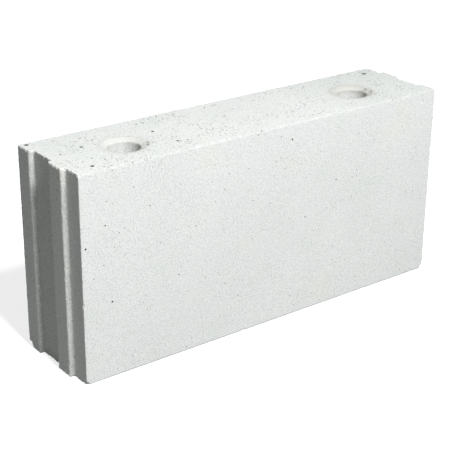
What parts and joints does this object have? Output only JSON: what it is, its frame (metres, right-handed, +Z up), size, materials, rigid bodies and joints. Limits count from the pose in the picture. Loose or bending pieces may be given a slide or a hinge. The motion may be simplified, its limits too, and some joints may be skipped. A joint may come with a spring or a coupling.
{
  "type": "perforated calcium silicate brick",
  "caption": "Pale calcium silicate wall block with tongue-and-groove ends and round grip holes running through its height.",
  "frame": {"origin": "centre of the bottom bed face", "axes": "+X along the block's length, +Y through the wall from the front face to the back face, +Z up from the bottom bed to the top bed"},
  "size_m": [0.5034, 0.115, 0.238],
  "materials": {
    "calcium_silicate": "matt pressed and steam-cured sand-lime body, greyish white, fine grain with small pores"
  },
  "bodies": {
    "root": {"block": "calcium_silicate"}
  },
  "joints": []
}
